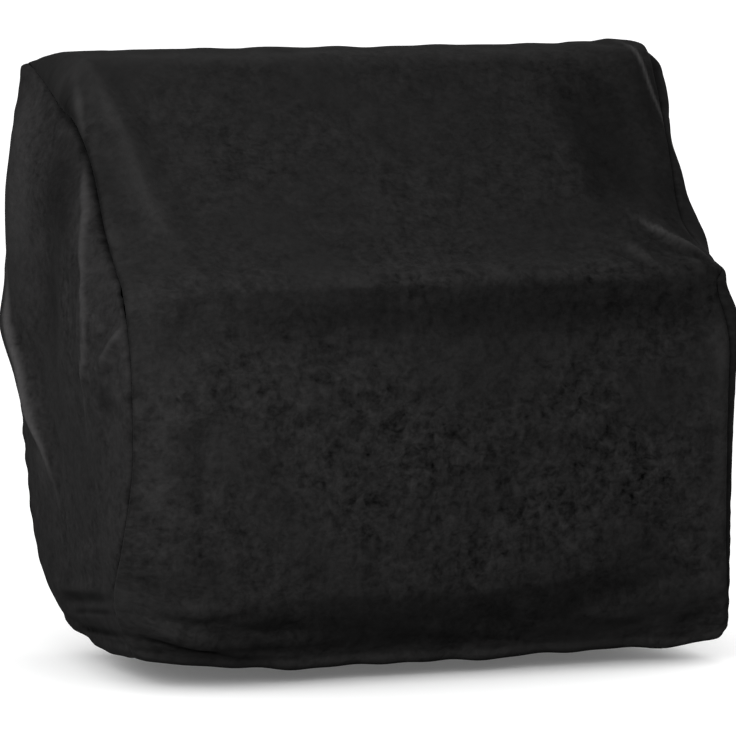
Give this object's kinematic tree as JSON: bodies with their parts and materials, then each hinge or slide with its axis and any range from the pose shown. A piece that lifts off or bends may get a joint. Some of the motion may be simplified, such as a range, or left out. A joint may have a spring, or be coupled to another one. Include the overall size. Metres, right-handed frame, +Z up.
{
  "type": "accordion cover",
  "caption": "Hollow fitted dust cover of black velvet, open below, with a sloping front, a narrow top and end panels sewn on, as it hangs over a large standing instrument.",
  "frame": {"origin": "middle of the underside of the top, where the cover hangs on what it covers", "axes": "+Z up, +X along the cover's length, with the front towards -Y"},
  "size_m": [0.5378, 0.2954, 0.4599],
  "materials": {
    "velvet": "black short-pile velvet, matt with a soft sheen at grazing angles and a brushed nap"
  },
  "bodies": {
    "root": {"main_panel": "velvet", "left_end_panel": "velvet", "right_end_panel": "velvet"}
  },
  "joints": []
}
